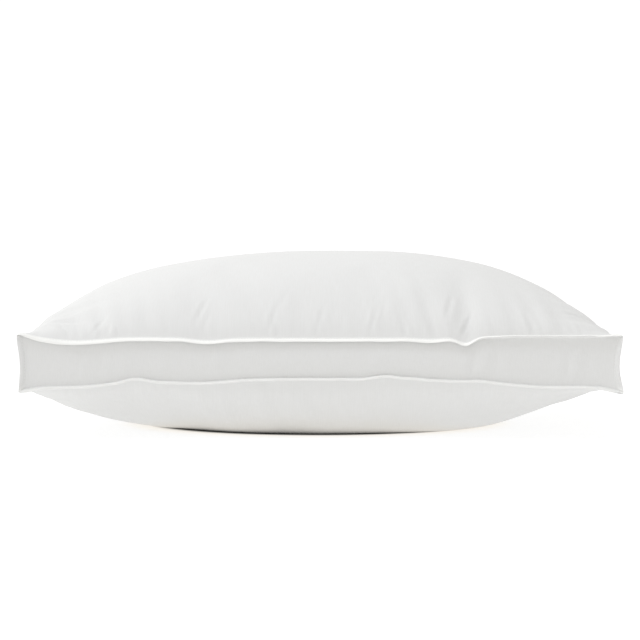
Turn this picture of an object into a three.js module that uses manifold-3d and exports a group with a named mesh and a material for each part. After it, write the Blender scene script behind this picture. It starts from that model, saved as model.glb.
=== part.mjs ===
// A boxed bed pillow: two fabric panels and four gusset strips, pinched together along every edge
// into a flat flange, lockstitched with two threads a row, and stuffed with loose fibre.
//
// Millimetres. +X runs along the pillow's length, +Y from its front to its back, +Z up.
// The origin is on the surface the pillow lies on, under the middle of its outline.
//
// u and v, each from -1 to 1, say where a point lies within the seam outline: u along X, v along Y.

import * as THREE from "three";
import { mergeVertices } from "three/addons/utils/BufferGeometryUtils.js";
import Module from "manifold-3d";

// ---- Driving dimensions --------------------------------------------------------------------

const SEAM_LENGTH = 628; // between the corner seams, along X
const SEAM_DEPTH = 476; // between the corner seams, along Y
const END_PULL = 10; // how far the filling draws the middle of each short side in
const SIDE_PULL = 16; // and of each long side
const BOTTOM_SEAM = 63; // height of the bottom seam at the middle of a side
const GUSSET_HEIGHT = 44; // from the bottom seam to the top seam there
const EAR_LIFT = 3; // how much higher the top seam stands at a corner
const EAR_DROP = 6; // how much lower the bottom seam hangs at a corner
const CROWN = 94; // rise of the top panel above its seam
const TABLE_PRESS = 9; // how much lower the bottom panel would hang with nothing under it
const GUSSET_BULGE = 5; // how far the middle of a gusset stands out of its seams
const FLANGE_WIDTH = 6; // pinched edge, from the stitches to the fold
const PLY = 1.2; // one layer of shell fabric with its turned-in allowance
const CLEARANCE = 0.35; // gap kept between neighbouring pieces
const FILLING_GAP = 0.9; // and between the filling and the shell
const THREAD = 0.7; // thickness of a laid thread
const STITCH_INSET = 1.4; // from the root of the flange to the middle of the stitch row
const CLOSING_LENGTH = 220; // gap left for filling, sewn up last
const CLOSING_INSET = 3.6; // from the root of the flange to the closing row
const LABEL_WIDTH = 32;
const LABEL_DROP = 36;
const LABEL_THICKNESS = 1; // a satin ribbon, folded double
const LABEL_BEND = 2; // radius of its bend over the flange
const LABEL_PLACE = 0.5; // where along the back edge it is sewn, as u

const SOFT_CURVE = { roundness: 2.5, fullness: 0.64 }; // of a panel that rises freely
const PRESSED_CURVE = { roundness: 4, fullness: 0.5 }; // of the bottom panel from front to back
const LENGTH_CELLS = 24; // facets of a panel along X
const DEPTH_CELLS = 18; // and along Y
const GUSSET_ROWS = 4; // facets of a gusset from seam to seam

// ---- The shape of the stuffed pillow -------------------------------------------------------

// Which way is outwards at a seam: -1 or 1 on that side, 0 anywhere else.
const outward = (w) => (Math.abs(w) === 1 ? w : 0);

// The plan position of (u, v), moved outwards by out where it is on the seam, mitred at a corner.
function plan(u, v, out = 0) {
  const x = u * (SEAM_LENGTH / 2 - END_PULL * (1 - v * v));
  const y = v * (SEAM_DEPTH / 2 - SIDE_PULL * (1 - u * u));
  return [x + out * outward(u), y + out * outward(v)];
}

// How far a panel has swollen at w: 0 at its seams and 1 in the middle. The roundness sets how
// flat the middle is, and a lower fullness makes the panel leave its seams more steeply.
const swell = (w, { roundness, fullness }) => (1 - Math.abs(w) ** roundness) ** fullness;

const topSeam = (u, v) => BOTTOM_SEAM + GUSSET_HEIGHT + EAR_LIFT * (u * v) ** 2;
const bottomSeam = (u, v) => BOTTOM_SEAM - EAR_DROP * (u * v) ** 2;
const topSkin = (u, v) =>
  topSeam(u, v) + CROWN * swell(u, SOFT_CURVE) * swell(v, SOFT_CURVE);

function bottomSkin(u, v) {
  const belly = (BOTTOM_SEAM + TABLE_PRESS) * swell(u, SOFT_CURVE) * swell(v, PRESSED_CURVE);
  return Math.max(0, bottomSeam(u, v) - belly);
}

// The heights between which a gusset strip stands at (u, v).
const gussetTop = (u, v) => topSeam(u, v) - PLY - CLEARANCE;
const gussetBottom = (u, v) => bottomSeam(u, v) + PLY + CLEARANCE;

// How far row k of a gusset stands out of its seams: nothing at the seams and at the corners.
function gussetOut(u, v, k) {
  const along = Math.min(Math.abs(u), Math.abs(v));
  return GUSSET_BULGE * (1 - along * along) * Math.sin((Math.PI * k) / GUSSET_ROWS);
}

const steps = (n) => Array.from({ length: n + 1 }, (_, i) => (2 * i) / n - 1);

// ---- Mesh helpers --------------------------------------------------------------------------

function geometry(points, triangles) {
  const made = new THREE.BufferGeometry();
  made.setAttribute("position", new THREE.Float32BufferAttribute(points.flat(), 3));
  return made.setIndex(triangles);
}

// Two triangles for the quad a, b, c, d, which runs anticlockwise seen from outside.
const quad = (a, b, c, d) => [a, b, c, a, c, d];

// A solid that runs through a list of sections, each the same number of [x, y, z] points. The
// outline gives the same points in the plane, for the end caps; a closed loop has none.
function loft(sections, outline, closed = false) {
  const n = outline.length;
  const triangles = [];
  const last = closed ? sections.length : sections.length - 1;
  for (let s = 0; s < last; s++) {
    const here = s * n;
    const next = ((s + 1) % sections.length) * n;
    for (let k = 0; k < n; k++) {
      const after = (k + 1) % n;
      triangles.push(...quad(here + k, here + after, next + after, next + k));
    }
  }
  if (!closed) {
    const caps = THREE.ShapeUtils.triangulateShape(
      outline.map(([x, y]) => new THREE.Vector2(x, y)),
      [],
    );
    const end = last * n;
    for (const [a, b, c] of caps) {
      triangles.push(a, c, b, end + a, end + b, end + c);
    }
  }
  return facingOut(geometry(sections.flat(), triangles));
}

// A solid between two grids of points of the same size, upper and lower, with any rows of wall
// points between their borders. Each row holds the border's points in the border's order.
function slab(upper, lower, wallRows = []) {
  const rows = upper.length;
  const columns = upper[0].length;
  const points = [...upper.flat(), ...lower.flat(), ...wallRows.flat()];
  const lowerStart = rows * columns;
  const triangles = [];
  for (let i = 0; i + 1 < rows; i++) {
    for (let j = 0; j + 1 < columns; j++) {
      const a = i * columns + j;
      const [b, c, d] = [a + columns, a + columns + 1, a + 1];
      triangles.push(...quad(a, b, c, d));
      triangles.push(...quad(a, d, c, b).map((k) => k + lowerStart));
    }
  }
  const border = borderOf(rows, columns).map(([i, j]) => i * columns + j);
  const rings = [
    border,
    ...wallRows.map((_, r) => border.map((_, k) => 2 * lowerStart + r * border.length + k)),
    border.map((k) => k + lowerStart),
  ];
  for (let r = 0; r + 1 < rings.length; r++) {
    border.forEach((_, k) => {
      const after = (k + 1) % border.length;
      triangles.push(...quad(rings[r][k], rings[r + 1][k], rings[r + 1][after], rings[r][after]));
    });
  }
  return facingOut(geometry(points, triangles));
}

// The border cells of a grid, in order round it.
function borderOf(rows, columns) {
  const cells = [];
  for (let i = 0; i < rows - 1; i++) cells.push([i, 0]);
  for (let j = 0; j < columns - 1; j++) cells.push([rows - 1, j]);
  for (let i = rows - 1; i > 0; i--) cells.push([i, columns - 1]);
  for (let j = columns - 1; j > 0; j--) cells.push([0, j]);
  return cells;
}

// Turns a closed mesh round if its faces point inwards.
function facingOut(made) {
  const p = made.getAttribute("position");
  const index = made.getIndex().array;
  const [a, b, c] = [new THREE.Vector3(), new THREE.Vector3(), new THREE.Vector3()];
  let volume = 0;
  for (let i = 0; i < index.length; i += 3) {
    [a, b, c].forEach((corner, k) => corner.fromBufferAttribute(p, index[i + k]));
    volume += a.dot(b.cross(c));
  }
  if (volume < 0) {
    for (let i = 0; i < index.length; i += 3) {
      [index[i + 1], index[i + 2]] = [index[i + 2], index[i + 1]];
    }
  }
  return made;
}

const wasm = await Module();
wasm.setup();

function solidOf(made) {
  const bare = new THREE.BufferGeometry().setAttribute("position", made.getAttribute("position"));
  bare.setIndex(made.getIndex());
  const merged = mergeVertices(bare, 1e-4);
  return new wasm.Manifold(
    new wasm.Mesh({
      numProp: 3,
      vertProperties: merged.getAttribute("position").array,
      triVerts: new Uint32Array(merged.getIndex().array),
    }),
  );
}

// One solid made of overlapping ones.
function joined(geometries) {
  const mesh = geometries.map(solidOf).reduce((a, b) => a.add(b)).getMesh();
  const made = new THREE.BufferGeometry();
  made.setAttribute("position", new THREE.BufferAttribute(mesh.vertProperties, 3));
  return made.setIndex(new THREE.BufferAttribute(mesh.triVerts, 1));
}

// ---- Panels --------------------------------------------------------------------------------

// The u or v of each grid line of a panel, and how far it is moved out. The first and last lines
// are the fold of the flange.
function panelLines(cells) {
  const inside = steps(cells).map((w) => ({ w, out: 0 }));
  return [{ w: -1, out: FLANGE_WIDTH }, ...inside, { w: 1, out: FLANGE_WIDTH }];
}

function panelGrid(height) {
  return panelLines(LENGTH_CELLS).map((line) =>
    panelLines(DEPTH_CELLS).map((cross) => {
      const [x] = plan(line.w, cross.w, line.out);
      const [, y] = plan(line.w, cross.w, cross.out);
      return [x, y, height(line.w, cross.w)];
    }),
  );
}

function topPanel() {
  return slab(
    panelGrid(topSkin),
    panelGrid((u, v) => topSkin(u, v) - PLY),
  );
}

function bottomPanel() {
  return slab(
    panelGrid((u, v) => bottomSkin(u, v) + PLY),
    panelGrid(bottomSkin),
  );
}

// ---- Gusset strips -------------------------------------------------------------------------

// The section of a strip at (u, v), as [how far out, height]: a channel whose two margins are
// turned out to lie under the top panel's flange and over the bottom panel's.
function gussetSection(u, v) {
  const top = gussetTop(u, v);
  const bottom = gussetBottom(u, v);
  const web = (face) =>
    Array.from({ length: GUSSET_ROWS - 1 }, (_, r) => [
      face + gussetOut(u, v, r + 1),
      THREE.MathUtils.lerp(top, bottom, (r + 1) / GUSSET_ROWS),
    ]);
  return [
    [FLANGE_WIDTH, top],
    [-PLY, top],
    ...web(-PLY),
    [-PLY, bottom],
    [FLANGE_WIDTH, bottom],
    [FLANGE_WIDTH, bottom + PLY],
    [0, bottom + PLY],
    ...web(0).reverse(),
    [0, top - PLY],
    [FLANGE_WIDTH, top - PLY],
  ];
}

// The four sides of the pillow. at(s) gives (u, v) along the side as s goes from -1 to 1, and
// along is the plan direction in which s grows.
const SIDES = {
  front: { cells: LENGTH_CELLS, at: (s) => [s, -1], along: [1, 0] },
  right: { cells: DEPTH_CELLS, at: (s) => [1, s], along: [0, 1] },
  back: { cells: LENGTH_CELLS, at: (s) => [s, 1], along: [1, 0] },
  left: { cells: DEPTH_CELLS, at: (s) => [-1, s], along: [0, 1] },
};

// A section placed at s along a side. At a corner it lies along the mitre between the two sides,
// and gap moves it off the mitre's plane.
function placed(side, s, section, gap = 0) {
  const [u, v] = side.at(s);
  const shift = -Math.sign(s) * gap * Math.SQRT2;
  return section.map(([out, z]) => {
    const [x, y] = plan(u, v, out);
    return [x + side.along[0] * shift, y + side.along[1] * shift, z];
  });
}

// An upright bar along the corner seam at the end s of a side: from and to say how far out it
// lies, and near and far how far off the mitre's plane. It stops short of the flanges' threads.
function cornerBar(side, s, [from, to], [near, far]) {
  const [u, v] = side.at(s);
  const room = PLY + THREAD + 2 * CLEARANCE;
  const low = gussetBottom(u, v) + room;
  const high = gussetTop(u, v) - room;
  const section = [
    [from, low],
    [to, low],
    [to, high],
    [from, high],
  ];
  return loft([near, far].map((gap) => placed(side, s, section, gap)), section);
}

// The margin that a strip turns out along a corner seam, from inside the strip to the ear's tip.
function cornerMargin(side, s) {
  return cornerBar(side, s, [-PLY / 2, FLANGE_WIDTH], [CLEARANCE, CLEARANCE + PLY]);
}

function gusset(side) {
  const sections = steps(side.cells).map((s) => {
    const gap = Math.abs(s) === 1 ? CLEARANCE : 0;
    return placed(side, s, gussetSection(...side.at(s)), gap);
  });
  const strip = loft(sections, gussetSection(...side.at(0)));
  return joined([strip, cornerMargin(side, -1), cornerMargin(side, 1)]);
}

// ---- Filling -------------------------------------------------------------------------------

// Loose fibre, which takes up the whole inside of the shell.
function filling() {
  const inset = -PLY - FILLING_GAP;
  const lengthLines = steps(LENGTH_CELLS);
  const depthLines = steps(DEPTH_CELLS);
  const grid = (height) =>
    lengthLines.map((u) => depthLines.map((v) => [...plan(u, v, inset), height(u, v)]));
  const border = borderOf(lengthLines.length, depthLines.length);
  const walls = Array.from({ length: GUSSET_ROWS - 1 }, (_, r) =>
    border.map(([i, j]) => {
      const [u, v] = [lengthLines[i], depthLines[j]];
      const height = THREE.MathUtils.lerp(gussetTop(u, v), gussetBottom(u, v), (r + 1) / GUSSET_ROWS);
      return [...plan(u, v, inset + gussetOut(u, v, r + 1)), height];
    }),
  );
  return slab(
    grid((u, v) => topSkin(u, v) - PLY - FILLING_GAP),
    grid((u, v) => bottomSkin(u, v) + PLY + FILLING_GAP),
    walls,
  );
}

// ---- Threads -------------------------------------------------------------------------------

// A thread's section: its middle this far out from the seam, and its lower face at this height.
function threadSection(out, low) {
  return [
    [out - THREAD / 2, low],
    [out + THREAD / 2, low],
    [out + THREAD / 2, low + THREAD],
    [out - THREAD / 2, low + THREAD],
  ];
}

// A thread that runs right round the pillow on a flange.
function seamThread(low) {
  const sections = [];
  for (const [name, side] of Object.entries(SIDES)) {
    const stations = steps(side.cells);
    if (name === "back" || name === "left") stations.reverse();
    for (const s of stations.slice(0, -1)) {
      sections.push(placed(side, s, threadSection(STITCH_INSET, low(...side.at(s)))));
    }
  }
  return loft(sections, threadSection(STITCH_INSET, 0), true);
}

// The row that closes the filling gap, in the middle of the back edge, under the bottom flange.
function closingThread() {
  const side = SIDES.back;
  const reach = CLOSING_LENGTH / SEAM_LENGTH;
  const inside = steps(side.cells).filter((s) => Math.abs(s) < reach);
  const sections = [-reach, ...inside, reach].map((s) => {
    const low = bottomSeam(...side.at(s)) - CLEARANCE - THREAD;
    return placed(side, s, threadSection(CLOSING_INSET, low));
  });
  return loft(sections, threadSection(CLOSING_INSET, 0));
}

// A thread down a corner seam, on the face of one strip's corner margin.
function cornerThread(side, s) {
  const from = STITCH_INSET + THREAD / 2 + CLEARANCE;
  const face = PLY + 2 * CLEARANCE;
  return cornerBar(side, s, [from, from + THREAD], [face, face + THREAD]);
}

// ---- Label ---------------------------------------------------------------------------------

// A blank folded ribbon that comes out of the back flange and hangs down over the gusset.
function careLabel() {
  const halfSpan = LABEL_WIDTH / SEAM_LENGTH;
  const [middle] = plan(LABEL_PLACE, 1);
  const ends = [LABEL_PLACE - halfSpan, LABEL_PLACE + halfSpan];
  const start = Math.max(...ends.map((u) => plan(u, 1, FLANGE_WIDTH)[1])) + CLEARANCE;
  const top = Math.min(...ends.map((u) => gussetTop(u, 1)));
  const middleOfBend = top + LABEL_THICKNESS - LABEL_BEND;
  const innerBend = LABEL_BEND - LABEL_THICKNESS;
  const outline = new THREE.Shape();
  outline.moveTo(start, top);
  outline.lineTo(start, top + LABEL_THICKNESS);
  outline.absarc(start, middleOfBend, LABEL_BEND, Math.PI / 2, 0, true);
  outline.lineTo(start + LABEL_BEND, top - LABEL_DROP);
  outline.lineTo(start + innerBend, top - LABEL_DROP);
  outline.absarc(start, middleOfBend, innerBend, 0, Math.PI / 2, false);
  const made = new THREE.ExtrudeGeometry(outline, {
    depth: LABEL_WIDTH,
    bevelEnabled: false,
    curveSegments: 4,
  });
  // The outline is drawn in Y and Z, and extruded along X.
  const axes = new THREE.Matrix4().makeBasis(
    new THREE.Vector3(0, 1, 0),
    new THREE.Vector3(0, 0, 1),
    new THREE.Vector3(1, 0, 0),
  );
  return made.applyMatrix4(axes).translate(middle - LABEL_WIDTH / 2, 0, 0);
}

// ---- The assembly --------------------------------------------------------------------------

const cotton = new THREE.MeshStandardMaterial({ color: 0xf2f1ee, roughness: 0.85, metalness: 0 });
const fibre = new THREE.MeshStandardMaterial({ color: 0xfafaf8, roughness: 1, metalness: 0 });
const thread = new THREE.MeshStandardMaterial({ color: 0xf7f6f2, roughness: 0.6, metalness: 0 });
const satin = new THREE.MeshStandardMaterial({ color: 0xf4f4f4, roughness: 0.4, metalness: 0 });

const pillow = new THREE.Group();

function add(name, made, material) {
  const mesh = new THREE.Mesh(made, material);
  mesh.name = name;
  pillow.add(mesh);
}

add("top_panel", topPanel(), cotton);
add("bottom_panel", bottomPanel(), cotton);
for (const [name, side] of Object.entries(SIDES)) {
  add(`${name}_gusset`, gusset(side), cotton);
}
add("fibre_filling", filling(), fibre);

add("top_needle_thread", seamThread((u, v) => topSeam(u, v) + CLEARANCE), thread);
add("top_bobbin_thread", seamThread((u, v) => gussetTop(u, v) - PLY - CLEARANCE - THREAD), thread);
add("bottom_needle_thread", seamThread((u, v) => bottomSeam(u, v) - CLEARANCE - THREAD), thread);
add("bottom_bobbin_thread", seamThread((u, v) => gussetBottom(u, v) + PLY + CLEARANCE), thread);
for (const [name, v] of [["front", -1], ["back", 1]]) {
  for (const [end, u] of [["left", -1], ["right", 1]]) {
    add(`${name}_${end}_corner_needle_thread`, cornerThread(SIDES[name], u), thread);
    add(`${name}_${end}_corner_bobbin_thread`, cornerThread(SIDES[end], v), thread);
  }
}
add("closing_thread", closingThread(), thread);
add("care_label", careLabel(), satin);

export default pillow;
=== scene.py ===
import math
import bpy
import numpy as np
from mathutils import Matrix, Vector


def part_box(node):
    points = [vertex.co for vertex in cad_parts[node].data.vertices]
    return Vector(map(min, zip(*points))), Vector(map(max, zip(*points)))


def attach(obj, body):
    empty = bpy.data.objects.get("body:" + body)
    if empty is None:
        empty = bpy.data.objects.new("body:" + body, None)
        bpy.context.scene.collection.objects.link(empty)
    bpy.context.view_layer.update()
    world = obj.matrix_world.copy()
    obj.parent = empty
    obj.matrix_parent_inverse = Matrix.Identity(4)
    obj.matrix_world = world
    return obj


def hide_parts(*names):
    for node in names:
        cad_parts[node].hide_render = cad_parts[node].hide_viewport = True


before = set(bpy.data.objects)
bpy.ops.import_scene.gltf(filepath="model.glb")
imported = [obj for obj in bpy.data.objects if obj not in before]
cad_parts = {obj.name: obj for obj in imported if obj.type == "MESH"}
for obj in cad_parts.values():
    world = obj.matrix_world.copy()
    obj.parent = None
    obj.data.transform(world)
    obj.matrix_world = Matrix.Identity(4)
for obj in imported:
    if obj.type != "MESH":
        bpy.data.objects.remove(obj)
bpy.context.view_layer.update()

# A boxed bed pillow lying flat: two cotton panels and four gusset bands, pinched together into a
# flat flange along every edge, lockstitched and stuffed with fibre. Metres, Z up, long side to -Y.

mm = 0.001
tiny = 1e-9  # keeps a division away from zero
rng = np.random.default_rng(26)


def say(stage):
    print("pillow:", stage, flush=True)


def linear(hexColour):  # an sRGB hex colour as the linear numbers that the shaders take
    parts = [int(hexColour[k:k + 2], 16) / 255 for k in (1, 3, 5)]
    return [c / 12.92 if c <= 0.04045 else ((c + 0.055) / 1.055) ** 2.4 for c in parts] + [1.0]


def addNode(tree, kind, settings=None, inputs=None, links=None):
    # links: input name or number -> the output socket that feeds it
    node = tree.nodes.new(kind)
    for name, value in (settings or {}).items():
        setattr(node, name, value)
    for name, value in (inputs or {}).items():
        node.inputs[name].default_value = value
    for name, socket in (links or {}).items():
        tree.links.new(socket, node.inputs[name])
    return node


def meshObject(name, points, faces, uvs=None, edges=(), marks=None):
    # marks: name -> a number for each point, kept as an attribute
    mesh = bpy.data.meshes.new(name)
    mesh.from_pydata([tuple(p) for p in points], list(edges), faces)
    if uvs is not None:
        layer = mesh.uv_layers.new(name="cloth")
        order = np.empty(len(mesh.loops), int)
        mesh.loops.foreach_get("vertex_index", order)
        layer.data.foreach_set("uv", np.asarray(uvs, float)[order].ravel())
    for mark, values in (marks or {}).items():
        mesh.attributes.new(mark, "FLOAT", "POINT").data.foreach_set("value", np.asarray(values, float))
    if faces:
        mesh.shade_smooth()
    piece = bpy.data.objects.new(name, mesh)
    bpy.context.scene.collection.objects.link(piece)
    return piece


def gridFaces(rows, columns, flipped=False):
    faces = [(i * columns + j, (i + 1) * columns + j, (i + 1) * columns + j + 1, i * columns + j + 1)
             for i in range(rows - 1) for j in range(columns - 1)]
    return [face[::-1] for face in faces] if flipped else faces


def vertexArray(mesh, what):  # "co" or "normal" of every vertex, one row each
    values = np.empty(len(mesh.vertices) * 3)
    mesh.vertices.foreach_get(what, values)
    return values.reshape(-1, 3)


def moveVertices(mesh, points):
    mesh.vertices.foreach_set("co", points.ravel())
    mesh.update()


def madeReal(piece, modifier):  # what the modifier makes becomes the mesh itself
    graph = bpy.context.evaluated_depsgraph_get()
    made = bpy.data.meshes.new_from_object(piece.evaluated_get(graph), depsgraph=graph)
    piece.modifiers.remove(modifier)
    piece.data = made
    made.name = piece.name


def blurReach(width):  # three widths out a Gaussian is next to nothing
    return int(3 * width) + 1


def blurAlong(values, width, axis):  # Gaussian blur along one axis of a grid, ends held
    reach = blurReach(width)
    weights = np.exp(-0.5 * (np.arange(-reach, reach + 1) / width) ** 2)
    pad = [(reach, reach) if k == axis else (0, 0) for k in range(values.ndim)]
    padded = np.pad(values, pad, mode="reflect", reflect_type="odd")
    out = np.zeros_like(values)
    for k, weight in enumerate(weights / weights.sum()):
        out += weight * np.take(padded, range(k, k + values.shape[axis]), axis=axis)
    return out


def blurRound(values, width):  # the same along the first axis of a closed ring
    reach = blurReach(width)
    return blurAlong(np.concatenate([values[-reach:], values, values[:reach]]), width, 0)[reach:-reach]


def ripple(place, short, long, waves=6, spread=0.1):
    # An uneven, seeded wave with a mean square of about one: sines of lengths from short to long
    lengths = np.geomspace(short, long, waves) * rng.uniform(1 - spread, 1 + spread, waves)
    total = sum(np.sin(2 * math.pi * place / length + rng.uniform(0, 2 * math.pi)) for length in lengths)
    return total / (waves / 2) ** 0.5


# The form of the stuffed pillow

form = {
    "flange": 6 * mm,  # from the stitches to the fold
    "endPull": 10 * mm,  # how far the filling draws the short sides in
    "sidePull": 16 * mm,  # and the long sides
    "bottomSeam": 65.5 * mm,  # heights of the two seams at the middle of a side
    "topSeam": 108 * mm,
    "earLift": 3.5 * mm,  # the corners stand a little higher on top
    "earDrop": 9 * mm,  # and hang lower below
    "crown": 92 * mm,
    "crownShift": 0.26,  # the fibre is heaped a little to the right
    "belly": 115 * mm,  # how far the bottom panel would hang below its seam with no table
    "gussetBulge": 4 * mm,
    "lumps": 1.3 * mm,  # soft unevenness of the filling
    "lumpCells": (10, 7),  # how wide the lumps are along the length and the depth, in cells
    "lumpSeeds": {"top": 5, "low": 6},
}
cells = {
    "length": 132, "depth": 64, "gusset": 10,
    "gatherLength": 0.3,  # how much closer the cells lie near the short sides than in the middle
    "gatherDepth": 0.55,  # and near the long sides
}

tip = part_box("top_panel")[1]  # the ears reach as far as the CAD panel
seamX = tip.x - form["flange"]
seamY = tip.y - form["flange"]

# Where the front seams sag or ride up: (place along X, half-width, rise), in mm
topSeamWaves = [(-258, 24, -4.0), (-120, 15, -2.8), (119, 10, -1.5), (156, 7, -6.5), (205, 30, 1.0)]
bottomSeamWaves = [(-198, 11, 4.5), (-126, 24, -2.6), (71, 12, 3.6), (100, 9, 1.5), (172, 9, 1.2),
                   (232, 28, -2.6), (-255, 22, -1.5)]
looseSeams = {
    "top": 1.6 * mm,  # how much the top seam wanders at the back
    "low": 1.4 * mm,
    "ends": 0.7,  # share of that on the short sides
    "reachDepth": 0.16,  # how far the long sides' waves carry inwards, in half-depths of the panel
    "reachLength": 0.12,  # and the short sides', in half-lengths
    "turns": (2, 3, 5, 8, 13),  # how many waves each part of a loose wave has along its side
    "phases": (0, 6.28),
    "fall": 0.6,  # how quickly the shorter parts get lower
    "share": 0.6,  # brings their sum back to about the size asked for
}


def waveSum(x, waves):
    return sum(rise * mm * np.exp(-0.5 * ((x - place * mm) / (width * mm)) ** 2)
               for place, width, rise in waves)


def looseWave(share, size):  # a seeded wave along a side from -1 to 1, still at its corners
    total = np.zeros_like(share)
    for turns in looseSeams["turns"]:
        strength = rng.normal()
        wave = np.sin(math.pi * turns * share + rng.uniform(*looseSeams["phases"]))
        total += strength * wave / turns ** looseSeams["fall"]
    return size * total * (1 - share ** 4) * looseSeams["share"]


def gathered(count, pull):  # stations from -1 to 1, closer together near both seams
    even = np.linspace(-1, 1, count + 1)
    return (1 - pull) * even + pull * np.sin(math.pi / 2 * even)


u, v = np.meshgrid(gathered(cells["length"], cells["gatherLength"]),
                   gathered(cells["depth"], cells["gatherDepth"]), indexing="ij")


def planOf(u, v):
    x = u * (seamX - form["endPull"] * (1 - v * v))
    y = v * (seamY - form["sidePull"] * (1 - u * u))
    return x, y


def seamOffsets(frontWaves, size):
    # Height offset of a seam over the whole grid: each side's own wave, fading inwards
    def fade(w, reach):
        return np.exp(-((w + 1) / reach) ** 1.2)
    ends = size * looseSeams["ends"]
    front = waveSum(planOf(u, v)[0], frontWaves) * fade(v, looseSeams["reachDepth"])
    back = looseWave(u, size) * fade(-v, looseSeams["reachDepth"])
    left = looseWave(v, ends) * fade(u, looseSeams["reachLength"])
    right = looseWave(v, ends) * fade(-u, looseSeams["reachLength"])
    return front + back + left + right


def lumpField(side):
    field = np.random.default_rng(form["lumpSeeds"][side]).normal(size=u.shape)
    for axis, width in enumerate(form["lumpCells"]):
        field = blurAlong(field, width, axis)
    return form["lumps"] * field / field.std() * (1 - u ** 4) * (1 - v ** 4)


# How each panel swells from its seams to its middle: (roundness, fullness)
swelling = {"topLeft": (3.8, 0.48), "topRight": (1.7, 0.61), "topDepth": (2.5, 0.64),
            "lowLeft": (0.32, 0.27), "lowRight": (0.96, 0.56), "lowDepth": (1.54, 0.6)}
bellyMiddle = 0.35  # how far out from the middle the left of the belly is as full as the right


def swell(w, side):
    roundness, fullness = swelling[side]
    return np.clip(1 - np.abs(w) ** roundness, 0, None) ** fullness


def roundedCrest(w, soft=0.15):  # from the middle to a seam, without a ridge at the middle
    return np.sign(w) * (np.hypot(w, soft) - soft) / (math.hypot(1, soft) - soft)


def bellyBulge():
    w = roundedCrest(u)
    middle = np.exp(-(w / bellyMiddle) ** 4)
    left, right = swell(w, "lowLeft"), swell(w, "lowRight")
    return np.where(w < 0, left * (1 - middle) + right * middle, right) * swell(v, "lowDepth")


def crownBulge():
    heap = u - form["crownShift"] * (1 - u * u)
    return np.where(heap < 0, swell(heap, "topLeft"), swell(heap, "topRight")) * swell(v, "topDepth")


def pressed(height, soft=4 * mm):  # flattened where the table stops it, with a soft turn
    return np.where(height > soft, height, np.where(height > -soft, (height + soft) ** 2 / (4 * soft), 0))


def softForm():
    x, y = planOf(u, v)
    ears = (u * v) ** 2
    top = (form["topSeam"] + form["earLift"] * ears + seamOffsets(topSeamWaves, looseSeams["top"])
           + form["crown"] * crownBulge() + lumpField("top"))
    low = (form["bottomSeam"] - form["earDrop"] * ears + seamOffsets(bottomSeamWaves, looseSeams["low"])
           - form["belly"] * bellyBulge() + lumpField("low"))
    return np.stack([x, y, top], -1), np.stack([x, y, pressed(low)], -1)


def ringOf(shape):  # the border cells of a grid, anticlockwise from the front left corner
    lastU, lastV = shape[0] - 1, shape[1] - 1
    return ([(i, 0) for i in range(lastU)] + [(lastU, j) for j in range(lastV)]
            + [(i, lastV) for i in range(lastU, 0, -1)] + [(0, j) for j in range(lastV, 0, -1)])


def shellMesh(top, bottom, web):
    # One closed mesh: the top grid, the bottom grid and the gusset rows between them
    rowsU, columns = top.shape[:2]
    count = rowsU * columns
    border = [i * columns + j for i, j in ringOf(top.shape)]
    n = len(border)
    points = np.vstack([top.reshape(-1, 3), bottom.reshape(-1, 3), web[1:-1].reshape(-1, 3)])
    grid = gridFaces(rowsU, columns)
    faces = grid + [tuple(k + count for k in face[::-1]) for face in grid]
    rows = [border] + [[2 * count + r * n + k for k in range(n)] for r in range(len(web) - 2)]
    rows.append([k + count for k in border])
    for upper, lower in zip(rows, rows[1:]):
        faces += [(upper[k], lower[k], lower[(k + 1) % n], upper[(k + 1) % n]) for k in range(n)]
    return points, faces, border + rows[-1]


def straightWeb(top, bottom, rows):
    ringI, ringJ = np.array(ringOf(top.shape)).T
    share = np.linspace(0, 1, rows + 1)[:, None, None]
    return top[ringI, ringJ] * (1 - share) + bottom[ringI, ringJ] * share


# The cloth, blown up a little so that it wrinkles by itself

blowing = {
    "spare": 0.035,  # by what share the cloth is larger than its form
    "pressure": 3.0,
    "frames": 24,
    "webRows": 6,
    "reach": 30 * mm,  # no point is carried farther than this
    "finest": 0.7,  # wrinkles between these two sizes are kept, in cells of the simulated grid
    "broadest": 4.5,
    "wrinkles": 0.35,  # share of their height that is kept
    "cap": 5 * mm,  # and the height that it nears at most, before that share
    "seamHold": 12,  # the higher, the nearer to a seam they start
}
clothSettings = {"quality": 6, "mass": 0.15, "tension_stiffness": 30, "compression_stiffness": 30,
                 "shear_stiffness": 12, "bending_stiffness": 2.5, "air_damping": 2}


def blowUp(points, faces, pinned):
    shell = meshObject("airing", points, faces)
    shell.vertex_groups.new(name="seams").add(pinned, 1.0, "REPLACE")
    cloth = shell.modifiers.new("Cloth", "CLOTH")
    for name, value in clothSettings.items():
        setattr(cloth.settings, name, value)
    cloth.settings.vertex_group_mass = "seams"
    cloth.settings.use_pressure = True
    cloth.settings.uniform_pressure_force = blowing["pressure"]
    cloth.settings.shrink_min = -blowing["spare"]
    cloth.settings.effector_weights.gravity = 0
    cloth.point_cache.frame_start = 1
    cloth.point_cache.frame_end = blowing["frames"]
    for number in range(1, blowing["frames"] + 1):
        bpy.context.scene.frame_set(number)
    blown = vertexArray(shell.evaluated_get(bpy.context.evaluated_depsgraph_get()).data, "co")
    bpy.data.objects.remove(shell)
    bpy.context.scene.frame_set(1)
    return blown


def wrinklesOnly(moves):
    # The wrinkles without the swelling under them, and without the ripple of single cells
    near, broad = (blurAlong(blurAlong(moves, width, 0), width, 1)
                   for width in (blowing["finest"], blowing["broadest"]))
    fine = near - broad
    size = np.linalg.norm(fine, axis=-1, keepdims=True)
    return blowing["wrinkles"] * fine * blowing["cap"] / np.sqrt(blowing["cap"] ** 2 + size ** 2)


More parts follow.
